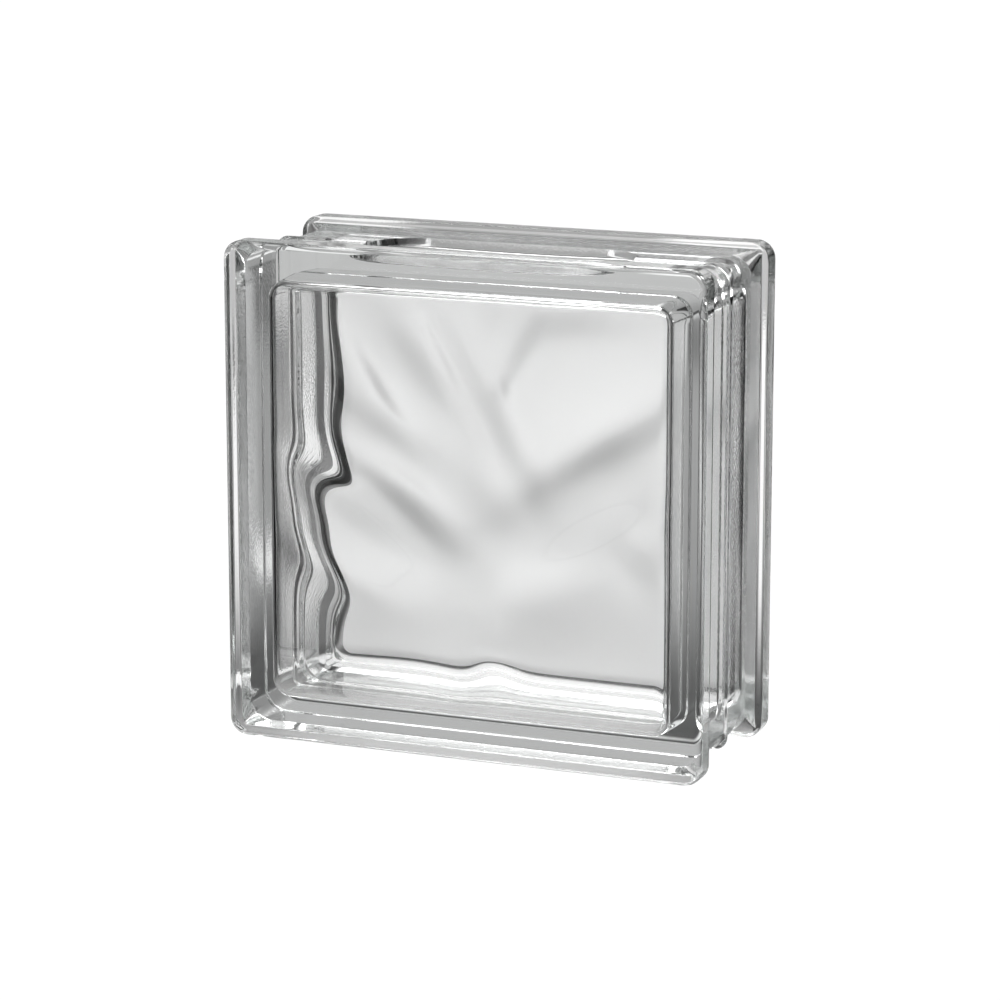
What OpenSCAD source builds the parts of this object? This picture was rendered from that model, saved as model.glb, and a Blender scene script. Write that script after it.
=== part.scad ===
// Hollow glass block: two pressed half shells fused on the mid plane into one sealed piece.
// The clear pane faces -Y and the pane with the satin inside faces +Y.
// The block stands on its lower flanges.

/* [Block] */
// Width of the block across its face
block_w = 190; // [150:1:240]
// Height of the block
block_h = 190; // [150:1:240]
// Depth of the block from the front face to the rear face
block_d = 80; // [74:1:100]

/* [Flanges] */
// Depth of each flange land, measured from the face
flange_land = 10; // [8:0.5:13]
// Corner radius of the flanges, seen from the front
flange_corner_r = 7; // [5:0.5:10]
// Radius of the rounded edge between a face and its land
face_edge_r = 2.5; // [1:0.25:4]
// Height of the upright shoulder behind each land
shoulder_h = 2.5; // [1:0.25:3.5]
// Depth over which the shoulder slopes down to the mortar channel
slope_run = 8; // [5:0.5:12]

/* [Mortar channel] */
// Depth of the mortar channel below the flange lands
channel_depth = 4.2; // [3.8:0.1:5.5]
// Corner radius of the channel floor, seen from the front
channel_corner_r = 8; // [6:0.5:12]
// Height of the fused seam above the channel floor
seam_h = 0.8; // [0.4:0.1:2]
// Width of the fused seam
seam_w = 4; // [3:0.5:10]

/* [Key pocket] */
// Length of the round-ended pocket in the middle of the upper side
pocket_l = 108; // [80:1:120]
// Width of the pocket, between the two flanges
pocket_w = 38; // [24:1:40]
// Depth of the scooped pocket floor below the channel floor, in the middle
pocket_depth = 3.5; // [2:0.25:4]
// How much the pocket floor rises from its middle to each end
pocket_rise = 0.9; // [0.3:0.1:1.5]

/* [Cavity] */
// Thickness of each pane, without its waves
pane_t = 10.5; // [8:0.5:13]
// Distance from the flange lands to the cavity wall beside the panes
wall_inset = 15; // [14:0.5:20]
// How much further out the cavity wall lies at the seam, for draft
wall_draft = 1; // [0.5:0.1:1.5]
// Corner radius of the cavity, seen from the front
cavity_corner_r = 7; // [6.5:0.5:10]
// Radius of the fillet between the cavity wall and the clear pane
clear_fillet_r = 4; // [2:0.5:6]
// Radius of the fillet between the cavity wall and the satin pane
satin_fillet_r = 6; // [3:0.5:6]
// Height of the fused seam inside the cavity
inner_seam_h = 0.8; // [0.4:0.1:1.2]
// Width of the fused seam inside the cavity
inner_seam_w = 6; // [4:0.5:8]

/* [Waves] */
// Height of the waves pressed into the inner faces, as a share of the usual pattern
wave_share = 1; // [0.2:0.05:1.1]
// Facets across each inner face
wave_steps = 36; // [24:2:38]

/* [Hidden] */

// Tiny overlap that lets neighbouring solids fuse
lap = 0.02;
// Facets in a rounded edge, in the seam bump and in a cavity fillet
edge_facets = 5;
fillet_facets = 4;
// Facets of half a cavity corner, as a share of half a side
corner_share = 4 / wave_steps;

half_d = block_d / 2;
pane_z = half_d - pane_t;
pane_half_w = block_w / 2 - wall_inset;
pane_half_h = block_h / 2 - wall_inset;
channel_axis = channel_depth + channel_corner_r;
slope_foot_z = half_d - flange_land;

// Folds of each inner face, in mm and degrees: middle across and up, direction,
// reach along and across, and height
clear_waves = [
    [-52, -5, -33, 35, 8, 1.8],
    [-52, -20, -33, 30, 8, 1.6],
    [-30, 40, -58, 28, 9, 0.4],
    [30, 45, 60, 28, 9, -0.8],
    [50, -5, 34, 30, 11, 0.9],
    [6, -55, 80, 25, 8, 0.8],
    [12, -60, 0, 9, 9, -0.4]
];
satin_waves = [
    [38, 14, 33, 42, 8, -2.1],
    [-52, -18, -34, 34, 7, -1.4],
    [-62, 14, -30, 20, 8, -1.7],
    [-12, 20, -57, 34, 5, -1.5],
    [-5, 45, 63, 16, 5, -1.2],
    [-42, 34, -56, 28, 8, -1.6],
    [-62, 38, -54, 24, 9, 1.6],
    [28, 34, 40, 30, 18, 3.2],
    [4, -37, 14, 24, 13, 2.6],
    [-60, -40, -32, 24, 14, 2.8],
    [52, -14, 75, 14, 8, 1.0],
    [44, -28, -48, 16, 7, -0.9],
    [-16, 50, -80, 14, 6, 0.9],
    [-33, 42, -62, 18, 5, 0.8],
    [-46, -4, -35, 24, 8, 1.4],
    [-18, 4, -60, 18, 8, 1.0],
    [19, 60, 0, 22, 6, -0.4]
];

// Height of all the folds of a face at a point of it
function wave(x, y, waves) = wave_share * sum_of([for (w = waves) fold(x, y, w)]);

// One soft fold, a ridge with a trough along one side
function fold(x, y, w) =
    let (dx = x - w[0], dy = y - w[1])
    let (along = (dx * cos(w[2]) + dy * sin(w[2])) / w[3])
    let (over = (dy * cos(w[2]) - dx * sin(w[2])) / w[4])
    w[5] * over * exp((1 - over * over) / 2 - along * along);

function sum_of(list) = list * [for (item = list) 1];

// Point of a rounded rectangle of half sizes a and b, for s and t from -1 to 1,
// where the middle is at 0 and the outline where s or t reaches 1
function round_rect(s, t, a, b, r) =
    let (m = max(abs(s), abs(t)))
    m == 0 ? [0, 0] :
    let (upright = abs(s) >= abs(t))
    let (along = (upright ? t : s) / m, outward = (upright ? s : t) / m)
    let (turn = 45 * max(0, abs(along) - 1 + corner_share) / corner_share)
    let (straight = min(1, abs(along) / (1 - corner_share)))
    let (run = sign(along) * (((upright ? b : a) - r) * straight + r * sin(turn)))
    let (out = sign(outward) * ((upright ? a : b) - r + r * cos(turn)))
    upright ? [m * out, m * run] : [m * run, m * out];

// Place of facet corner number i, from -1 to 1
function share(i) = 2 * i / wave_steps - 1;

// Facet corner number k on the border of a pane, counted round it
function border(k) =
    let (side = floor(k / wave_steps), q = k % wave_steps)
    side == 0 ? [q, 0] :
    side == 1 ? [wave_steps, q] :
    side == 2 ? [wave_steps - q, wave_steps] : [0, wave_steps - q];

// Points of one inner face, side = 1 for the clear pane and -1 for the satin one
function pane_points(side, waves, fillet_r) = [
    for (j = [0 : wave_steps]) for (i = [0 : wave_steps])
        let (p = round_rect(share(i), share(j), pane_half_w - fillet_r,
                            pane_half_h - fillet_r, cavity_corner_r - fillet_r))
        [p[0], p[1], side * (pane_z - wave(p[0], p[1], waves))]
];

// Ring of points round the cavity, grown outwards from the pane's own wall line
function ring_points(grow, z, side, fade, waves) = [
    for (k = [0 : 4 * wave_steps - 1])
        let (c = border(k))
        let (p = round_rect(share(c[0]), share(c[1]), pane_half_w + grow,
                            pane_half_h + grow, cavity_corner_r + grow))
        [p[0], p[1], z - side * fade * wave(p[0], p[1], waves)]
];

// Ring number k of the fillet beside a pane
function fillet_ring(k, side, waves, fillet_r) =
    let (turn = 90 * k / fillet_facets)
    ring_points(-fillet_r * (1 - sin(turn)), side * (pane_z - fillet_r * (1 - cos(turn))),
                side, cos(turn), waves);

// Ring where the inner seam starts to rise from the leaning wall of one half
function seam_ring(side) =
    let (grow = wall_draft * (1 - inner_seam_w / 2 / pane_z))
    ring_points(grow, side * inner_seam_w / 2, side, 0, clear_waves);

// Sealed hollow between the panes, with waves pressed into both inner faces
module cavity() {
    row = wave_steps + 1;
    grid = row * row;
    loop = 4 * wave_steps;
    rings = concat(
        [for (k = [1 : fillet_facets]) fillet_ring(k, 1, clear_waves, clear_fillet_r)],
        [seam_ring(1), ring_points(wall_draft - inner_seam_h, 0, 1, 0, clear_waves), seam_ring(-1)],
        [for (k = [fillet_facets : -1 : 1]) fillet_ring(k, -1, satin_waves, satin_fillet_r)]
    );
    points = concat(
        pane_points(1, clear_waves, clear_fillet_r),
        pane_points(-1, satin_waves, satin_fillet_r),
        [for (ring = rings) for (p = ring) p]
    );
    // Level 0 is the clear pane's border, the last level the satin pane's
    last = len(rings) + 1;
    function border_point(level, k) =
        let (q = k % loop, c = border(q))
        level == 0 ? c[1] * row + c[0] :
        level == last ? grid + c[1] * row + c[0] :
        2 * grid + (level - 1) * loop + q;
    cells = [for (j = [0 : wave_steps - 1]) for (i = [0 : wave_steps - 1]) j * row + i];
    faces = concat(
        [for (c = cells) for (f = [[c, c + row + 1, c + 1], [c, c + row, c + row + 1]]) f],
        [for (c = cells) for (f = [[c, c + 1, c + row + 1], [c, c + row + 1, c + row]])
            [for (v = f) v + grid]],
        [for (level = [0 : last - 1]) for (k = [0 : loop - 1])
            let (a = border_point(level, k), b = border_point(level, k + 1))
            let (c = border_point(level + 1, k), d = border_point(level + 1, k + 1))
            for (f = [[a, b, d], [a, d, c]]) f]
    );
    polyhedron(points, faces, convexity = 6);
}

// Block whose edge has one profile all round: x of a profile point is its distance
// outwards from the corner axis, y its place along the depth
module rim_block(axis_inset, profile) {
    side_w = block_w - 2 * axis_inset;
    side_h = block_h - 2 * axis_inset;
    for (turn = [0, 180]) rotate([0, 0, turn]) {
        translate([side_w / 2, side_h / 2, 0]) rotate([90, 0, 0])
            linear_extrude(side_h) polygon(profile);
        translate([-side_w / 2, side_h / 2, 0]) rotate([90, 0, 90])
            linear_extrude(side_w) polygon(profile);
        translate([side_w / 2, side_h / 2, 0]) rotate_extrude(angle = 90, $fn = 64)
            polygon(profile);
        translate([-side_w / 2, side_h / 2, 0]) rotate([0, 0, 90])
            rotate_extrude(angle = 90, $fn = 64) polygon(profile);
    }
    low = min([for (p = profile) p[1]]);
    high = max([for (p = profile) p[1]]);
    translate([-side_w / 2 - lap, -side_h / 2 - lap, low])
        cube([side_w + 2 * lap, side_h + 2 * lap, high - low]);
}

// Flange with its rounded face edge, its flat land and its upright shoulder
module flange() {
    edge = [for (k = [0 : edge_facets])
        let (turn = 90 * k / edge_facets)
        [flange_corner_r - face_edge_r * (1 - cos(turn)), half_d - face_edge_r * (1 - sin(turn))]];
    rim_block(flange_corner_r, concat(
        [[0, slope_foot_z], [flange_corner_r, slope_foot_z]], edge, [[0, half_d]]));
}

// Waist between the flanges: the sloped feet of the shoulders, the channel floor and the seam
module waist() {
    foot_r = channel_axis - shoulder_h;
    slope_end_z = slope_foot_z - slope_run;
    seam = [for (k = [0 : edge_facets])
        let (turn = 180 * k / edge_facets)
        [channel_corner_r + seam_h * sin(turn), -seam_w / 2 * cos(turn)]];
    rim_block(channel_axis, concat(
        [[0, -slope_foot_z - lap], [foot_r, -slope_foot_z - lap], [foot_r, -slope_foot_z],
         [channel_corner_r, -slope_end_z]],
        seam,
        [[channel_corner_r, slope_end_z], [foot_r, slope_foot_z],
         [foot_r, slope_foot_z + lap], [0, slope_foot_z + lap]]));
}

// Round-ended pocket that keys the mortar, with a scooped floor, sunk into the upper channel floor
module key_pocket() {
    end_x = (pocket_l - pocket_w) / 2;
    scoop_r = (pocket_l * pocket_l / 4 + pocket_rise * pocket_rise) / (2 * pocket_rise);
    pocket_h = channel_depth + pocket_depth;
    translate([0, block_h / 2 - pocket_h, 0]) rotate([-90, 0, 0])
        intersection() {
            union() {
                for (x = [-end_x, end_x]) translate([x, 0, 0])
                    cylinder(d = pocket_w, h = pocket_h, $fn = 64);
                translate([-end_x, -pocket_w / 2, 0]) cube([2 * end_x, pocket_w, pocket_h]);
            }
            translate([0, pocket_w, scoop_r]) rotate([90, 0, 0])
                cylinder(r = scoop_r, h = 2 * pocket_w, $fn = 360);
        }
}

module glass_block() {
    color([0.86, 0.92, 0.90, 0.45])
    translate([0, 0, block_h / 2]) rotate([90, 0, 0])
    difference() {
        union() {
            flange();
            mirror([0, 0, 1]) flange();
            waist();
        }
        key_pocket();
        cavity();
    }
}

glass_block();
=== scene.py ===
# %% [markdown]
# # A hollow glass block, dressed for its portrait
# The real object is one sealed piece: two pressed half shells of glass, fused hot on the mid plane.
# This lesson builds its skin as one closed mesh, outside and cavity together, so that light bends
# through it as it does through the real block. Then it makes the glass, the camera and the studio.

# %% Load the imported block
import math

import bpy
import numpy as np
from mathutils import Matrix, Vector


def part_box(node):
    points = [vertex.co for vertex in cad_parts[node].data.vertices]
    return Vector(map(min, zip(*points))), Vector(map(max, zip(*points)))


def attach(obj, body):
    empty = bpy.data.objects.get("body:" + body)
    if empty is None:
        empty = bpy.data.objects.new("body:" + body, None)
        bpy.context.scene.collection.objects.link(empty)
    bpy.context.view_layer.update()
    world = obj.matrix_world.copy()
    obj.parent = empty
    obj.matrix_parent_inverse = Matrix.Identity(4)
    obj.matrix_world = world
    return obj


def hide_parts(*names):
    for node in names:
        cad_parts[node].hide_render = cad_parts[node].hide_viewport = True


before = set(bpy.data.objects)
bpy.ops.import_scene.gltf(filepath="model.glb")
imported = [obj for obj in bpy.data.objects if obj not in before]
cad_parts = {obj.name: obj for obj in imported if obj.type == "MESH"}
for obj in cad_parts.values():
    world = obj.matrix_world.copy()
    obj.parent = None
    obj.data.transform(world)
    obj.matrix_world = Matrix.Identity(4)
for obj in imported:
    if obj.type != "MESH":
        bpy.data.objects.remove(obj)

MM = 0.001
scene = bpy.context.scene
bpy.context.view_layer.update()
block_low, block_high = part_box("glass_block")
block_size = block_high - block_low
block_centre = (block_low + block_high) / 2
print("block size in mm", [round(side / MM, 2) for side in block_size])

# %% [markdown]
# ## The rim's profile
# Cut the real block across its edge and the section shows a rounded face edge, a flat land, an
# upright shoulder, a slope, and the mortar channel with the fused seam on its middle. It could be
# cut from blocks with booleans, but those leave ragged shading on glass. Here the section is a line
# with rounded corners, and every point of it becomes a ring round the block.

# %% A line with rounded corners
SUPPORT = 0.25 * MM
ARC_STEPS = 5


def soften(corners, radii):
    """The line through the corners, with each inner corner turned into an arc."""
    corners = [np.array(corner, float) for corner in corners]
    line = [corners[0]]
    for before, corner, after, radius in zip(corners, corners[1:], corners[2:], radii):
        back = (before - corner) / np.linalg.norm(before - corner)
        ahead = (after - corner) / np.linalg.norm(after - corner)
        half_angle = math.acos(np.clip(back @ ahead, -1, 1)) / 2
        reach = radius / math.tan(half_angle)
        middle = (back + ahead) / np.linalg.norm(back + ahead)
        centre = corner + middle * radius / math.sin(half_angle)
        start, end = corner + back * reach, corner + ahead * reach
        line.append(start + back * SUPPORT)
        for step in range(ARC_STEPS + 1):
            mix = start + (end - start) * step / ARC_STEPS
            line.append(centre + (mix - centre) / np.linalg.norm(mix - centre) * radius)
        line.append(end + ahead * SUPPORT)
    line.append(corners[-1])
    return np.array(line)


print("each corner takes", ARC_STEPS + 3, "points")

# %% Section of the rim, from one face to the other
HALF_DEPTH = block_size.y / 2
FLANGE_LAND = 10 * MM
FACE_EDGE_R = 2.5 * MM
FACE_LIP = 4 * MM
SHOULDER_H = 2.5 * MM
SHOULDER_DRAFT = 0.2 * MM
SHOULDER_EDGE_R = 0.8 * MM
SLOPE_RUN = 8 * MM
SLOPE_FOOT_R = 6 * MM
CHANNEL_DEPTH = 4.2 * MM
SEAM_H = 0.8 * MM
SEAM_W = 4 * MM
SEAM_STEPS = 6

land_edge = HALF_DEPTH - FLANGE_LAND
slope_end = land_edge - SLOPE_RUN
seam_depths = np.linspace(0, SEAM_W / 2, SEAM_STEPS + 1)
seam_insets = CHANNEL_DEPTH - SEAM_H * np.cos(seam_depths / SEAM_W * math.pi) ** 2
seam_line = np.stack([seam_depths, seam_insets], axis=1)
rim_line = soften(
    [
        (SEAM_W / 2 + SUPPORT, CHANNEL_DEPTH),
        (slope_end, CHANNEL_DEPTH),
        (land_edge - SHOULDER_DRAFT, SHOULDER_H + SHOULDER_DRAFT / 2),
        (land_edge, 0),
        (HALF_DEPTH, 0),
        (HALF_DEPTH, FACE_LIP),
    ],
    [SLOPE_FOOT_R, SHOULDER_EDGE_R, SHOULDER_EDGE_R, FACE_EDGE_R],
)
half_section = np.concatenate([seam_line, rim_line])
section = np.concatenate([half_section[:0:-1] * (-1, 1), half_section])
print("rim section of", len(section), "rows")

# %% [markdown]
# ## Rings round the block
# Each row of the section runs round the block as a square with rounded corners. The flanges and the
# channel have corner radii of their own, so the radius follows how deep the row lies. Stations are
# worked out once and reused for every ring, which keeps the mesh a clean grid of quads.

# %% Stations of a ring
SIDE_STATIONS = 112
CORNER_STATIONS = 8


def ring_stations():
    """For each station: its share of the straight half sides, and its outward direction."""
    straight, outward = [], []
    quarter_turn = np.array([[0, -1], [1, 0]])
    for side in range(4):
        spin = np.linalg.matrix_power(quarter_turn, side)
        for place in np.linspace(-1, 1, SIDE_STATIONS):
            straight.append(spin @ (1, place))
            outward.append(spin @ (1, 0))
        for step in range(1, CORNER_STATIONS):
            angle = math.pi / 2 * step / CORNER_STATIONS
            straight.append(spin @ (1, 1))
            outward.append(spin @ (math.cos(angle), math.sin(angle)))
    return np.array(straight), np.array(outward)


straight, outward = ring_stations()
half_face = np.array([block_size.x, block_size.z]) / 2
print("ring of", len(straight), "stations")

# %% Outer rows
FLANGE_CORNER_R = 7 * MM
SHOULDER_CORNER_R = 2 * MM
CHANNEL_CORNER_R = 8 * MM
land_start = land_edge + SHOULDER_EDGE_R + SUPPORT / 2


def ring(inset, corner_r):
    """Points across the face of one ring, inset from the flange lands."""
    return straight * (half_face - inset - corner_r) + outward * corner_r


def corner_radius(depth, inset):
    """Corner radius of a row: the flange's own on the face edge, the channel's further in."""
    if abs(depth) > land_start:
        return FLANGE_CORNER_R - min(inset, FACE_EDGE_R)
    radii = [FLANGE_CORNER_R, SHOULDER_CORNER_R, CHANNEL_CORNER_R]
    return np.interp(inset, [0, SHOULDER_H, CHANNEL_DEPTH], radii)


rows = []
for depth, inset in section:
    across = ring(inset, corner_radius(depth, inset))
    rows.append(np.column_stack([across[:, 0], np.full(len(across), depth), across[:, 1]]))
outer_rows = np.array(rows) + np.array(block_centre)
print("outer skin", outer_rows.shape[0], "rows of", outer_rows.shape[1], "points")

# %% [markdown]
# ## Waves on the inner faces
# The plungers that press the half shells leave soft waves on the inside of both panes. They bend what
# is seen through the block, so they have to be real height, not a bump trick. Each wave is a fold: a
# ridge with a trough along one side. It has a middle, a direction, a reach and a height, and a face is
# the sum of its folds, spread like a fan from the lower middle of the pane.

# %% Folds of the clear pane and the satin pane
# middle x and z, direction in degrees, reach along, reach across, height; lengths in mm
CLEAR_WAVES = [
    (-52, -5, -33, 35, 8, 1.8),
    (-52, -20, -33, 30, 8, 1.6),
    (-30, 40, -58, 28, 9, 0.4),
    (30, 45, 60, 28, 9, -0.8),
    (50, -5, 34, 30, 11, 0.9),
    (6, -55, 80, 25, 8, 0.8),
    (12, -60, 0, 9, 9, -0.4),
]
SATIN_WAVES = [
    (38, 14, 33, 42, 8, -2.1),
    (-52, -18, -34, 34, 7, -1.4),
    (-62, 14, -30, 20, 8, -1.7),
    (-12, 20, -57, 34, 5, -1.5),
    (-5, 45, 63, 16, 5, -1.2),
    (-42, 34, -56, 28, 8, -1.6),
    (-62, 38, -54, 24, 9, 1.6),
    (28, 34, 40, 30, 18, 3.2),
    (4, -37, 14, 24, 13, 2.6),
    (-60, -40, -32, 24, 14, 2.8),
    (52, -14, 75, 14, 8, 1.0),
    (44, -28, -48, 16, 7, -0.9),
    (-16, 50, -80, 14, 6, 0.9),
    (-33, 42, -62, 18, 5, 0.8),
    (-46, -4, -35, 24, 8, 1.4),
    (-18, 4, -60, 18, 8, 1.0),
    (19, 60, 0, 22, 6, -0.4),
]


def wave_height(across, waves):
    """Height of a face's folds at points given from the middle of the pane."""
    height = np.zeros(across.shape[:-1])
    for middle_x, middle_z, direction, reach_along, reach_across, fold_h in waves:
        angle = math.radians(direction)
        dx = across[..., 0] / MM - middle_x
        dz = across[..., 1] / MM - middle_z
        along = (dx * math.cos(angle) + dz * math.sin(angle)) / reach_along
        over = (dz * math.cos(angle) - dx * math.sin(angle)) / reach_across
        height += fold_h * MM * over * np.exp((1 - over**2) / 2 - along**2)
    return height


print(len(CLEAR_WAVES), "folds on the clear pane,", len(SATIN_WAVES), "on the satin pane")

# %% [markdown]
# ## The cavity
# Inside, the two panes meet the four walls in a fillet, and the walls lean out a little towards the
# seam so that the plunger can leave the glass. A square grid is bent onto the rounded outline of each
# pane, and rings carry its border round the fillet and along the wall.

# %% A grid on a rounded pane
PANE_STEPS = 120
CORNER_CELLS = 4
NOT_ZERO = 1e-9


def round_pane(s, t, half, corner_r):
    """Points of a rounded rectangle for s and t from -1 to 1; its outline is where one of them is 1."""
    size = np.maximum(np.maximum(np.abs(s), np.abs(t)), NOT_ZERO)
    upright = np.abs(s) >= np.abs(t)
    along = np.where(upright, t, s) / size
    facing = np.sign(np.where(upright, s, t))
    corner_share = CORNER_CELLS / (PANE_STEPS / 2)
    turn = math.pi / 4 * np.maximum(0, np.abs(along) - 1 + corner_share) / corner_share
    run_half = np.where(upright, half[1], half[0]) - corner_r
    out_half = np.where(upright, half[0], half[1]) - corner_r
    run_share = np.minimum(1, np.abs(along) / (1 - corner_share))
    run = np.sign(along) * (run_half * run_share + corner_r * np.sin(turn))
    out = facing * (out_half + corner_r * np.cos(turn))
    outline = np.stack([np.where(upright, out, run), np.where(upright, run, out)], axis=-1)
    return outline * size[..., None]


grid_line = np.linspace(-1, 1, PANE_STEPS + 1)
grid_s, grid_t = np.meshgrid(grid_line, grid_line)
border_index = np.concatenate(
    [
        np.arange(PANE_STEPS),
        np.arange(PANE_STEPS) * (PANE_STEPS + 1) + PANE_STEPS,
        np.arange(PANE_STEPS, 0, -1) + PANE_STEPS * (PANE_STEPS + 1),
        np.arange(PANE_STEPS, 0, -1) * (PANE_STEPS + 1),
    ]
)
border_s, border_t = grid_s.ravel()[border_index], grid_t.ravel()[border_index]
print("pane border of", len(border_index), "points")

# %% Panes and wall rings
PANE_T = 10.5 * MM
WALL_INSET = 15 * MM
WALL_DRAFT = 1 * MM
CAVITY_CORNER_R = 7 * MM
CLEAR_FILLET_R = 4 * MM
SATIN_FILLET_R = 6 * MM
FILLET_STEPS = 6
INNER_SEAM_H = 0.8 * MM
INNER_SEAM_W = 6 * MM
SEAM_RINGS = 7
SEAM_GAP = 0.4 * MM
CLEAR_SIDE, SATIN_SIDE = -1, 1
pane_half = half_face - WALL_INSET
pane_depth = HALF_DEPTH - PANE_T


def cavity_points(s, t, grow, depth, fade, side, waves):
    """Points of the cavity's skin: outline grown from the wall line, at a depth, with faded waves."""
    across = round_pane(s, t, pane_half + grow, CAVITY_CORNER_R + grow)
    waved = side * (depth - fade * wave_height(across, waves))
    return np.stack([across[..., 0], waved, across[..., 1]], axis=-1) + np.array(block_centre)


def pane_grid(side, waves, fillet_r):
    """Points of a whole pane, inside its fillet."""
    return cavity_points(grid_s, grid_t, -fillet_r, pane_depth, 1, side, waves).reshape(-1, 3)


def wall_rings(side, waves, fillet_r):
    """Rings from beside the pane to beside the seam, round the fillet and along the leaning wall."""
    rings = []
    for step in range(1, FILLET_STEPS + 1):
        turn = math.pi / 2 * step / FILLET_STEPS
        grow = -fillet_r * (1 - math.sin(turn))
        depth = pane_depth - fillet_r * (1 - math.cos(turn))
        rings.append(cavity_points(border_s, border_t, grow, depth, math.cos(turn), side, waves))
    wall_start = pane_depth - fillet_r
    seam_places = np.linspace(INNER_SEAM_W / 2 + SUPPORT, SEAM_GAP, SEAM_RINGS)
    for depth in [wall_start - SUPPORT, *seam_places]:
        lean = WALL_DRAFT * (1 - depth / wall_start)
        bead = INNER_SEAM_H * math.cos(min(depth / INNER_SEAM_W, 0.5) * math.pi) ** 2
        rings.append(cavity_points(border_s, border_t, lean - bead, depth, 0, side, waves))
    return rings


clear_grid = pane_grid(CLEAR_SIDE, CLEAR_WAVES, CLEAR_FILLET_R)
satin_grid = pane_grid(SATIN_SIDE, SATIN_WAVES, SATIN_FILLET_R)
clear_rings = wall_rings(CLEAR_SIDE, CLEAR_WAVES, CLEAR_FILLET_R)
satin_rings = wall_rings(SATIN_SIDE, SATIN_WAVES, SATIN_FILLET_R)
seam_ring = cavity_points(border_s, border_t, WALL_DRAFT - INNER_SEAM_H, 0, 0, CLEAR_SIDE, CLEAR_WAVES)
cavity_rings = clear_rings + [seam_ring] + satin_rings[::-1]
print("cavity of two panes of", PANE_STEPS, "by", PANE_STEPS, "cells and", len(cavity_rings), "wall rings")

# %% [markdown]
# ## One closed skin
# The outside and the cavity become one mesh. Glass needs its normals to point out of the glass: out
# into the room on the outside, and into the hollow on the inside. Each face also gets a finish: clear,
# the fine mould texture of the channel, a fainter one on the lands, or satin. Plain materials carry
# the finishes for now, because the cut that follows hands a face's material on to what is left of it.

# %% Faces of the outside and the cavity
FINISHES = ["clear", "channel", "land", "satin"]
CLEAR, CHANNEL, LAND, SATIN = range(len(FINISHES))
SATIN_FILLET_STRIPS = 2
CHANNEL_EDGE = 0.5 * MM


def strip_faces(first, second):
    """Quads between two closed loops of point numbers."""
    first, second = np.asarray(first), np.asarray(second)
    return np.stack([first, np.roll(first, -1), np.roll(second, -1), second], axis=1)


def grid_faces(start):
    """Quads of a pane's grid whose points begin at a number."""
    corner = np.arange((PANE_STEPS + 1) ** 2).reshape(PANE_STEPS + 1, -1)[:-1, :-1].ravel() + start
    return np.stack([corner, corner + 1, corner + PANE_STEPS + 2, corner + PANE_STEPS + 1], axis=1)


row_count, station_count = outer_rows.shape[:2]
row_ids = np.arange(row_count * station_count).reshape(row_count, station_count)
outer_quads = np.concatenate([strip_faces(row_ids[k + 1], row_ids[k]) for k in range(row_count - 1)])
strip_depths = np.abs(section[:-1, 0] + section[1:, 0]) / 2
strip_places = [strip_depths < land_edge - CHANNEL_EDGE, strip_depths < HALF_DEPTH - FACE_EDGE_R]
outer_finish = np.repeat(np.select(strip_places, [CHANNEL, LAND], CLEAR), station_count)

clear_start = row_count * station_count
satin_start = clear_start + len(clear_grid)
rings_start = satin_start + len(satin_grid)
ring_size = len(border_index)
levels = [clear_start + border_index]
levels += [rings_start + k * ring_size + np.arange(ring_size) for k in range(len(cavity_rings))]
levels += [satin_start + border_index]
wall_quads = np.concatenate([strip_faces(a, b) for a, b in zip(levels, levels[1:])])
wall_finish = np.full(len(wall_quads), CLEAR)
wall_finish[-SATIN_FILLET_STRIPS * ring_size :] = SATIN
print(len(outer_quads), "faces outside,", len(wall_quads), "on the cavity's wall")

# %% Join them into a mesh
clear_quads = grid_faces(clear_start)[:, ::-1]
satin_quads = grid_faces(satin_start)
flat_faces = [row_ids[0].tolist(), row_ids[-1][::-1].tolist()]
quads = np.concatenate([outer_quads, clear_quads, satin_quads, wall_quads])
faces = quads.tolist() + flat_faces
finish = outer_finish.tolist() + [CLEAR] * len(clear_quads) + [SATIN] * len(satin_quads)
finish += wall_finish.tolist() + [CLEAR] * len(flat_faces)
points = np.concatenate([outer_rows.reshape(-1, 3), clear_grid, satin_grid, *cavity_rings])

skin = bpy.data.meshes.new("uncut_skin")
skin.from_pydata(points.tolist(), [], faces)
carriers = [bpy.data.materials.new(name) for name in FINISHES]
for carrier in carriers:
    skin.materials.append(carrier)
skin.polygons.foreach_set("material_index", finish)
skin.polygons.foreach_set("use_smooth", [True] * len(faces))
skin.update()
block = bpy.data.objects.new("pressed_glass", skin)
scene.collection.objects.link(block)
print("one skin of", len(skin.polygons), "faces")

# %% [markdown]
# ## The key pocket
# The middle of the upper side has a long round-ended pocket that keys the mortar. Its floor is scooped,
# deepest in the middle, and it takes the fused seam away where it lies. Its outline crosses the grid of
# rings, so this is the place for a boolean: a solid plug of that shape is taken out of the skin in one
# cut. Edges over forty degrees are then marked sharp, so that each keeps a clean line.

# %% Plug of the pocket
POCKET_L = 108 * MM
POCKET_W = 38 * MM
POCKET_DEPTH = 3.5 * MM
POCKET_RISE = 0.9 * MM
POCKET_DRAFT = 0.5 * MM
POCKET_FILLET_R = 0.8 * MM
POCKET_FILLET_LOOPS = 4
PLUG_RISE = 1.5 * MM
END_STEPS = 14
END_TURN = math.radians(87)
RUN_STEPS = 24

run_half = (POCKET_L - POCKET_W) / 2
scoop_r = (POCKET_L**2 / 4 + POCKET_RISE**2) / (2 * POCKET_RISE)
end_turns = np.linspace(END_TURN, 0, END_STEPS, endpoint=False)


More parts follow.
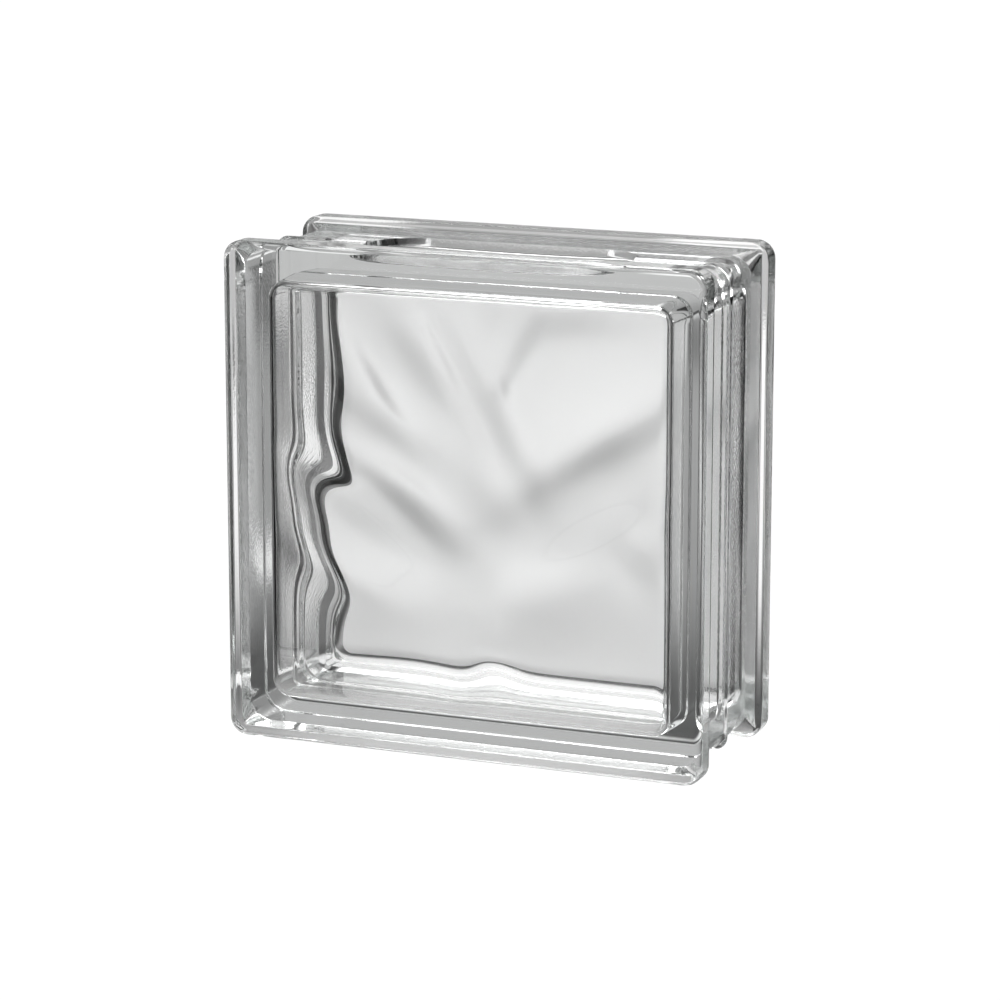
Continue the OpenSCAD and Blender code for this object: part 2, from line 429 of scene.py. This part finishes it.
def plug_edge(narrowed):
    """Places along the plug and its half width there, from its left end to its right end."""
    end_r = POCKET_W / 2 - narrowed
    left_end = -run_half - end_r * np.sin(end_turns)
    along = np.concatenate([left_end, np.linspace(-run_half, run_half, RUN_STEPS + 1), -left_end[::-1]])
    end_width = end_r * np.cos(end_turns)
    return along, np.concatenate([end_width, np.full(RUN_STEPS + 1, end_r), end_width[::-1]])


def scoop(along):
    """Depth of the pocket's floor below the flange lands."""
    return CHANNEL_DEPTH + POCKET_DEPTH - along**2 / 2 / scoop_r


def plug_loop(narrowed, insets):
    """A closed loop of the plug: along its front edge, then back along its rear edge."""
    along, half_width = plug_edge(narrowed)
    front_edge = np.stack([along, -half_width, half_face[1] - insets], axis=1)
    return np.concatenate([front_edge, front_edge[::-1] * (1, -1, 1)])


loops = [plug_loop(0, np.full(2 * END_STEPS + RUN_STEPS + 1, CHANNEL_DEPTH - PLUG_RISE))]
for turn in np.linspace(0, math.pi / 2, POCKET_FILLET_LOOPS):
    narrowed = POCKET_DRAFT + POCKET_FILLET_R * (1 - math.cos(turn))
    lifted = POCKET_FILLET_R * (1 - math.sin(turn))
    loops.append(plug_loop(narrowed, scoop(plug_edge(narrowed)[0]) - lifted))
half_loop = len(loops[0]) // 2
loop_ids = np.arange(len(loops) * 2 * half_loop).reshape(len(loops), -1)
plug_walls = np.concatenate([strip_faces(a, b) for a, b in zip(loop_ids, loop_ids[1:])])
front_ids, rear_ids = loop_ids[-1][:half_loop], loop_ids[-1][: half_loop - 1 : -1]
plug_floor = np.stack([front_ids[1:], front_ids[:-1], rear_ids[:-1], rear_ids[1:]], axis=1)
plug_lid = loop_ids[0].tolist()
plug_faces = plug_walls[:, ::-1].tolist() + plug_floor.tolist() + [plug_lid]
plug_mesh = bpy.data.meshes.new("pocket_plug")
plug_mesh.from_pydata((np.concatenate(loops) + np.array(block_centre)).tolist(), [], plug_faces)
plug_mesh.materials.append(carriers[CHANNEL])
plug_mesh.polygons.foreach_set("use_smooth", [True] * len(plug_faces))
plug = bpy.data.objects.new("pocket_plug", plug_mesh)
scene.collection.objects.link(plug)
print("plug of", len(plug_faces), "faces")

# %% Cut the pocket
SHARP_ANGLE = math.radians(40)
cut = block.modifiers.new("pocket", "BOOLEAN")
cut.operation = "DIFFERENCE"
cut.solver = "EXACT"
cut.material_mode = "TRANSFER"
cut.object = plug
cut_block = block.evaluated_get(bpy.context.evaluated_depsgraph_get())
mesh = bpy.data.meshes.new_from_object(cut_block)
mesh.name = "pressed_glass"
block.modifiers.clear()
block.data = mesh
mesh.set_sharp_from_angle(angle=SHARP_ANGLE)
mesh.calc_loop_triangles()
print("cut skin of", len(mesh.polygons), "faces,", len(mesh.loop_triangles), "triangles")

# %% [markdown]
# ## One glass, several finishes
# The whole block is one melt, so it is one material: the same refraction all over and the same faint
# green in thick glass. Several materials could differ in roughness, but a ray that enters by one and
# leaves by another would carry the tint out into the room. So the faces carry two marks, satin and
# mould, and the nodes read them to set the roughness and the fine relief of each finish. The carriers
# of the finishes have done their work and go.

# %% Marks on the faces
LAND_MOULD = 0.4
slot_finish = np.array([FINISHES.index(carrier.name) for carrier in mesh.materials])
face_slots = np.empty(len(mesh.polygons), int)
mesh.polygons.foreach_get("material_index", face_slots)
face_finish = slot_finish[face_slots]
mesh.materials.clear()
for mark, shares in (("satin", {SATIN: 1}), ("mould", {CHANNEL: 1, LAND: LAND_MOULD})):
    layer = mesh.attributes.new(mark, "FLOAT", "FACE")
    layer.data.foreach_set("value", [float(shares.get(number, 0)) for number in face_finish])
    print(mark, "faces", int(np.isin(face_finish, list(shares)).sum()))
bpy.data.objects.remove(plug)
bpy.data.meshes.remove(plug_mesh)
bpy.data.meshes.remove(skin)
for carrier in carriers:
    bpy.data.materials.remove(carrier)

# %% [markdown]
# ## The melt
# Soda glass bends light by 1.52. The moulded faces are a little dull, and the satin face is rough. The
# Principled shader gives all of that, with its roughness read from the marks.

# %% Glass and its roughness
GLASS_IOR = 1.52
SATIN_ROUGHNESS = 0.36
MOULD_ROUGHNESS = 0.04

glass = bpy.data.materials.new("pressed_glass")
glass.use_nodes = True
melt = glass.node_tree
shader = melt.nodes["Principled BSDF"]
shader.inputs["Base Color"].default_value = (1, 1, 1, 1)
shader.inputs["Transmission Weight"].default_value = 1
shader.inputs["IOR"].default_value = GLASS_IOR


def melt_node(kind, **settings):
    """A new node of the glass, with some of its settings or inputs."""
    made = melt.nodes.new(kind)
    for name, value in settings.items():
        if name in made.inputs:
            made.inputs[name].default_value = value
        else:
            setattr(made, name, value)
    return made


def reckon(tree, operation, *values):
    """A sum in a node tree; each value is a number or a socket."""
    made = tree.nodes.new("ShaderNodeMath")
    made.operation = operation
    for slot, value in zip(made.inputs, values):
        if isinstance(value, (int, float)):
            slot.default_value = value
        else:
            tree.links.new(value, slot)
    return made.outputs[0]


satin_mark = melt_node("ShaderNodeAttribute", attribute_name="satin").outputs["Fac"]
mould_mark = melt_node("ShaderNodeAttribute", attribute_name="mould").outputs["Fac"]
mould_roughness = reckon(melt, "MULTIPLY", mould_mark, MOULD_ROUGHNESS)
roughness = reckon(melt, "MULTIPLY_ADD", satin_mark, SATIN_ROUGHNESS, mould_roughness)
melt.links.new(roughness, shader.inputs["Roughness"])
print("roughness up to", SATIN_ROUGHNESS, "on the satin and", MOULD_ROUGHNESS, "in the channel")

# %% [markdown]
# ## Fine relief
# A cast-iron mould leaves a grain of about a millimetre on the channel and the lands, and the satin face
# has a finer one. Even polished glass is never quite flat. All three are far too small for the mesh, so
# one noise with a height for each finish goes through a Bump node.

# %% Grain of the finishes
POLISH_H = 0.0005
MOULD_H = 0.05
SATIN_H = 0.01
MOULD_GRAIN = 1000
SATIN_GRAIN = 1500
place = melt_node("ShaderNodeTexCoord").outputs["Object"]
grain = melt_node("ShaderNodeTexNoise", Detail=1)
grain_size = reckon(melt, "MULTIPLY_ADD", satin_mark, SATIN_GRAIN - MOULD_GRAIN, MOULD_GRAIN)
satin_height = reckon(melt, "MULTIPLY_ADD", satin_mark, SATIN_H, POLISH_H)
grain_height = reckon(melt, "MULTIPLY_ADD", mould_mark, MOULD_H, satin_height)
bump = melt_node("ShaderNodeBump", Distance=MM, Strength=1)
melt.links.new(place, grain.inputs["Vector"])
melt.links.new(grain_size, grain.inputs["Scale"])
melt.links.new(reckon(melt, "MULTIPLY", grain.outputs["Fac"], grain_height), bump.inputs["Height"])
melt.links.new(bump.outputs["Normal"], shader.inputs["Normal"])
print("relief of", MOULD_H, "mm in the channel and", SATIN_H, "mm on the satin")

# %% [markdown]
# ## Spread light, tint and shadow
# The satin face spreads the light that passes it, which a Translucent shader does. Rays that meet it at
# a steep slant are mostly turned back inside the glass instead, so a Layer Weight node takes the spread
# away there, softly, as a rough face has no sharp limit. The faint green of the melt grows with the way
# through the glass, so it is an absorption in the volume. Shadow rays pass straight on, as a clear block
# hardly shades what stands behind it.

# %% Finish the glass
SATIN_SPREAD = 0.85
STEEP_SLANT = 0.42
FLAT_SLANT = 0.2
GREEN_TINT = (0.845, 0.865, 0.857, 1)
TINT_DENSITY = 8
SHADOW_PASS = (0.92, 0.92, 0.92, 1)
slant = melt_node("ShaderNodeLayerWeight").outputs["Facing"]
let_through = melt_node("ShaderNodeMapRange", interpolation_type="SMOOTHSTEP")
let_through.inputs["From Min"].default_value = STEEP_SLANT
let_through.inputs["From Max"].default_value = FLAT_SLANT
melt.links.new(slant, let_through.inputs["Value"])
satin_spread = reckon(melt, "MULTIPLY", satin_mark, SATIN_SPREAD)
spread = melt_node("ShaderNodeBsdfTranslucent", Color=(1, 1, 1, 1))
body = melt_node("ShaderNodeMixShader")
melt.links.new(reckon(melt, "MULTIPLY", satin_spread, let_through.outputs["Result"]), body.inputs[0])
melt.links.new(shader.outputs[0], body.inputs[1])
melt.links.new(spread.outputs[0], body.inputs[2])
passing = melt_node("ShaderNodeBsdfTransparent", Color=SHADOW_PASS)
light_path = melt_node("ShaderNodeLightPath")
surface = melt_node("ShaderNodeMixShader")
melt.links.new(light_path.outputs["Is Shadow Ray"], surface.inputs[0])
melt.links.new(body.outputs[0], surface.inputs[1])
melt.links.new(passing.outputs[0], surface.inputs[2])
tint = melt_node("ShaderNodeVolumeAbsorption", Color=GREEN_TINT, Density=TINT_DENSITY)
output = melt.nodes["Material Output"]
melt.links.new(surface.outputs[0], output.inputs["Surface"])
melt.links.new(tint.outputs[0], output.inputs["Volume"])
mesh.materials.append(glass)
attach(block, "root")
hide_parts("glass_block")
print("glass of", len(melt.nodes), "nodes")

# %% [markdown]
# ## The camera
# The block is seen from a little to its right and above, through a long lens, so its upright edges
# stay almost parallel. The angles and the distance were fitted to the corners of the real block.

# %% Camera at the viewing angle
AZIMUTH = math.radians(22.296)
ELEVATION = math.radians(12.587)
DISTANCE = 1.4167
LENS_MM = 135.66
SENSOR_MM = 36
AIM_RIGHT = 0.163 * MM
AIM_UP = -3.724 * MM
right = Vector((math.cos(AZIMUTH), math.sin(AZIMUTH), 0))
level_back = Vector((math.sin(AZIMUTH), -math.cos(AZIMUTH), 0))
back = level_back * math.cos(ELEVATION) + Vector((0, 0, math.sin(ELEVATION)))
up = back.cross(right)
aim = block_centre + right * AIM_RIGHT + up * AIM_UP
lens = bpy.data.cameras.new("camera")
lens.lens = LENS_MM
lens.sensor_width = SENSOR_MM
camera = bpy.data.objects.new("camera", lens)
camera.location = aim + back * DISTANCE
camera.rotation_mode = "QUATERNION"
camera.rotation_quaternion = (-back).to_track_quat("-Z", "Y")
scene.collection.objects.link(camera)
scene.camera = camera
print("camera at", [round(c, 3) for c in camera.location])

# %% [markdown]
# ## The studio
# Clear glass has no colour of its own to show, so it is drawn by what it bends into view. The camera
# sees a white backdrop. The glass sees that backdrop at a softer level, in a dim room with one bright
# patch of light above and behind the block and a wide pale one behind the camera. The flat faces let the
# backdrop through, and the rounded edges gather the dim parts into dark lines, which is how glass is
# photographed. Light goes through many faces of a block, so the rays may bounce more often than usual.

# %% Room with soft patches
BOUNCES = 16
ROOM_LEVEL = 0.27
# direction, angle where the patch is full, angle where it ends, strength
LIGHT_ABOVE = ((-0.05, 0.5, 0.86), 12, 29, 6.5)
LIGHT_FRONT = ((0, -1, 0.25), 40, 80, 0.5)
BACKDROP = ((-0.35, 1, 0.25), 15, 40, 0.23)

scene.view_settings.view_transform = "Standard"
scene.cycles.max_bounces = BOUNCES
scene.cycles.glossy_bounces = BOUNCES
scene.cycles.transmission_bounces = BOUNCES
scene.cycles.transparent_max_bounces = BOUNCES
world = bpy.data.worlds.new("studio_room")
scene.world = world
world.use_nodes = True
room = world.node_tree
sight = room.nodes.new("ShaderNodeTexCoord").outputs["Generated"]


def room_patch(direction, full_angle, end_angle, strength, around=0):
    """A soft patch of the room: its strength is added to the level around it."""
    towards = room.nodes.new("ShaderNodeVectorMath")
    towards.operation = "DOT_PRODUCT"
    towards.inputs[1].default_value = Vector(direction).normalized()
    room.links.new(sight, towards.inputs[0])
    patch = room.nodes.new("ShaderNodeMapRange")
    patch.interpolation_type = "SMOOTHSTEP"
    patch.inputs["From Min"].default_value = math.cos(math.radians(end_angle))
    patch.inputs["From Max"].default_value = math.cos(math.radians(full_angle))
    patch.inputs["To Min"].default_value = around
    patch.inputs["To Max"].default_value = around + strength
    room.links.new(towards.outputs["Value"], patch.inputs["Value"])
    return patch.outputs["Result"]


rays = room.nodes.new("ShaderNodeLightPath").outputs
by_glass = reckon(room, "MAXIMUM", rays["Is Glossy Ray"], rays["Is Transmission Ray"])
room_light = reckon(room, "ADD", room_patch(*LIGHT_ABOVE, around=ROOM_LEVEL), room_patch(*LIGHT_FRONT))
glass_view = reckon(room, "MULTIPLY_ADD", room_patch(*BACKDROP), by_glass, room_light)
background = room.nodes["Background"]
background.inputs["Color"].default_value = (1, 1, 1, 1)
white_for_camera = reckon(room, "MAXIMUM", glass_view, rays["Is Camera Ray"])
room.links.new(white_for_camera, background.inputs["Strength"])
print("room of", len(room.nodes), "nodes")

# %% [markdown]
# ## The floor
# The camera sees a plain white floor. What the glass shows of it is a floor with pools of light: one
# under the front of the block, a thin one along its rear foot, two that run away from the camera, wide
# ones farther back and in front, and one to each side. Each pool is an ellipse in a Mapping node, bright
# inside and soft at its rim. The thin one ends just behind the block, which draws the dark line under the
# satin pane.

# %% Pale floor with pools of light
FLOOR_HALF = 6
FLOOR_COLOUR = (0.06, 0.06, 0.06, 1)
FLOOR_GLOW = 0.97
# middle, reach, turn in degrees, share of the reach that is full, strength
POOLS = [
    ((0, -0.07), (0.18, 0.14), 0, 0.33, 0.52),
    ((-0.02, 0.04), (0.2, 0.014), 0, 0.6, 0.85),
    ((0, 0.55), (0.55, 0.5), 0, 0.5, 0.3),
    ((-0.273, 0.43), (0.04, 0.5), 22.3, 0.5, 0.7),
    ((-0.083, 0.506), (0.045, 0.5), 22.3, 0.5, 0.7),
    ((-0.45, 1.5), (1.2, 0.85), 0, 0.75, 0.5),
    ((0, -1.2), (1.5, 0.95), 0, 0.6, 0.6),
    ((-0.75, 0), (0.55, 0.1), 0, 0.6, 0.35),
    ((0.75, 0), (0.55, 0.1), 0, 0.6, 0.35),
]

floor_corners = [(x * FLOOR_HALF, y * FLOOR_HALF, 0) for x, y in ((-1, -1), (1, -1), (1, 1), (-1, 1))]
floor_mesh = bpy.data.meshes.new("pale_floor")
floor_mesh.from_pydata(floor_corners, [], [(0, 1, 2, 3)])
floor = bpy.data.objects.new("pale_floor", floor_mesh)
scene.collection.objects.link(floor)
floor_paint = bpy.data.materials.new("pale_floor")
floor_paint.use_nodes = True
paint = floor_paint.node_tree
paint_shader = paint.nodes["Principled BSDF"]
paint_shader.inputs["Base Color"].default_value = FLOOR_COLOUR
paint_shader.inputs["Roughness"].default_value = 1
paint_shader.inputs["Specular IOR Level"].default_value = 0
paint_shader.inputs["Emission Color"].default_value = (1, 1, 1, 1)
spot = paint.nodes.new("ShaderNodeTexCoord").outputs["Object"]


def pool(middle, reach, turn, full_share, strength):
    """Light of one pool: an ellipse that is full inside and fades to nothing at its reach."""
    ellipse = paint.nodes.new("ShaderNodeMapping")
    ellipse.vector_type = "TEXTURE"
    ellipse.inputs["Location"].default_value = (*middle, 0)
    ellipse.inputs["Rotation"].default_value = (0, 0, math.radians(turn))
    ellipse.inputs["Scale"].default_value = (*reach, 1)
    paint.links.new(spot, ellipse.inputs["Vector"])
    away = paint.nodes.new("ShaderNodeVectorMath")
    away.operation = "LENGTH"
    paint.links.new(ellipse.outputs["Vector"], away.inputs[0])
    fade = paint.nodes.new("ShaderNodeMapRange")
    fade.interpolation_type = "SMOOTHSTEP"
    fade.inputs["From Min"].default_value = 1
    fade.inputs["From Max"].default_value = full_share
    fade.inputs["To Max"].default_value = strength
    paint.links.new(away.outputs["Value"], fade.inputs["Value"])
    return fade.outputs["Result"]


floor_rays = paint.nodes.new("ShaderNodeLightPath").outputs
floor_by_glass = reckon(paint, "MAXIMUM", floor_rays["Is Glossy Ray"], floor_rays["Is Transmission Ray"])
floor_glow = reckon(paint, "MULTIPLY", floor_rays["Is Camera Ray"], FLOOR_GLOW)
for shape in POOLS:
    floor_glow = reckon(paint, "MULTIPLY_ADD", pool(*shape), floor_by_glass, floor_glow)
paint.links.new(floor_glow, paint_shader.inputs["Emission Strength"])
floor_mesh.materials.append(floor_paint)
print("floor", 2 * FLOOR_HALF, "m wide with", len(POOLS), "pools")

# %% [markdown]
# ## Softbox and flags
# A softbox in front and above gives the rounded edges their small highlights. It is hidden from rays that
# come through the glass, where it would burn out. Black felt flags stand left and right, out of the
# camera's sight, and draw the dark upright lines in the rims. A gap between them on each side lets light
# through the middle of the block, so that it looks clear from the sides too.

# %% Softbox
BOX_SIZE = 0.4
BOX_PLACE = (0, -0.3, 0.6)
BOX_WATTS = 0.8
softbox = bpy.data.lights.new("softbox", "AREA")
softbox.size = BOX_SIZE
softbox.energy = BOX_WATTS
lamp = bpy.data.objects.new("softbox", softbox)
lamp.location = BOX_PLACE
lamp.visible_transmission = False
scene.collection.objects.link(lamp)
print("softbox of", BOX_WATTS, "W")

# %% Black flags beside the block
FLAG_BLACK = (0.01, 0.01, 0.01, 1)
FLAG_AWAY = 0.2
FLAG_H = 0.45
# side of the block, front end, rear end
FLAGS = [
    (-1, -0.3, -0.02),
    (-1, 0.035, 0.15),
    (1, -0.3, -0.06),
    (1, 0.01, 0.36),
]
felt = bpy.data.materials.new("black_felt")
felt.use_nodes = True
felt_shader = felt.node_tree.nodes["Principled BSDF"]
felt_shader.inputs["Base Color"].default_value = FLAG_BLACK
felt_shader.inputs["Roughness"].default_value = 1
felt_shader.inputs["Specular IOR Level"].default_value = 0
for side, front_end, rear_end in FLAGS:
    flag_mesh = bpy.data.meshes.new("black_flag")
    x = side * FLAG_AWAY
    flag_corners = [(x, front_end, 0), (x, rear_end, 0), (x, rear_end, FLAG_H), (x, front_end, FLAG_H)]
    flag_mesh.from_pydata(flag_corners, [], [(0, 1, 2, 3)])
    flag_mesh.materials.append(felt)
    flag = bpy.data.objects.new("black_flag", flag_mesh)
    flag.visible_camera = False
    flag.visible_shadow = False
    scene.collection.objects.link(flag)
    print("flag of", round(rear_end - front_end, 3), "by", FLAG_H, "m")
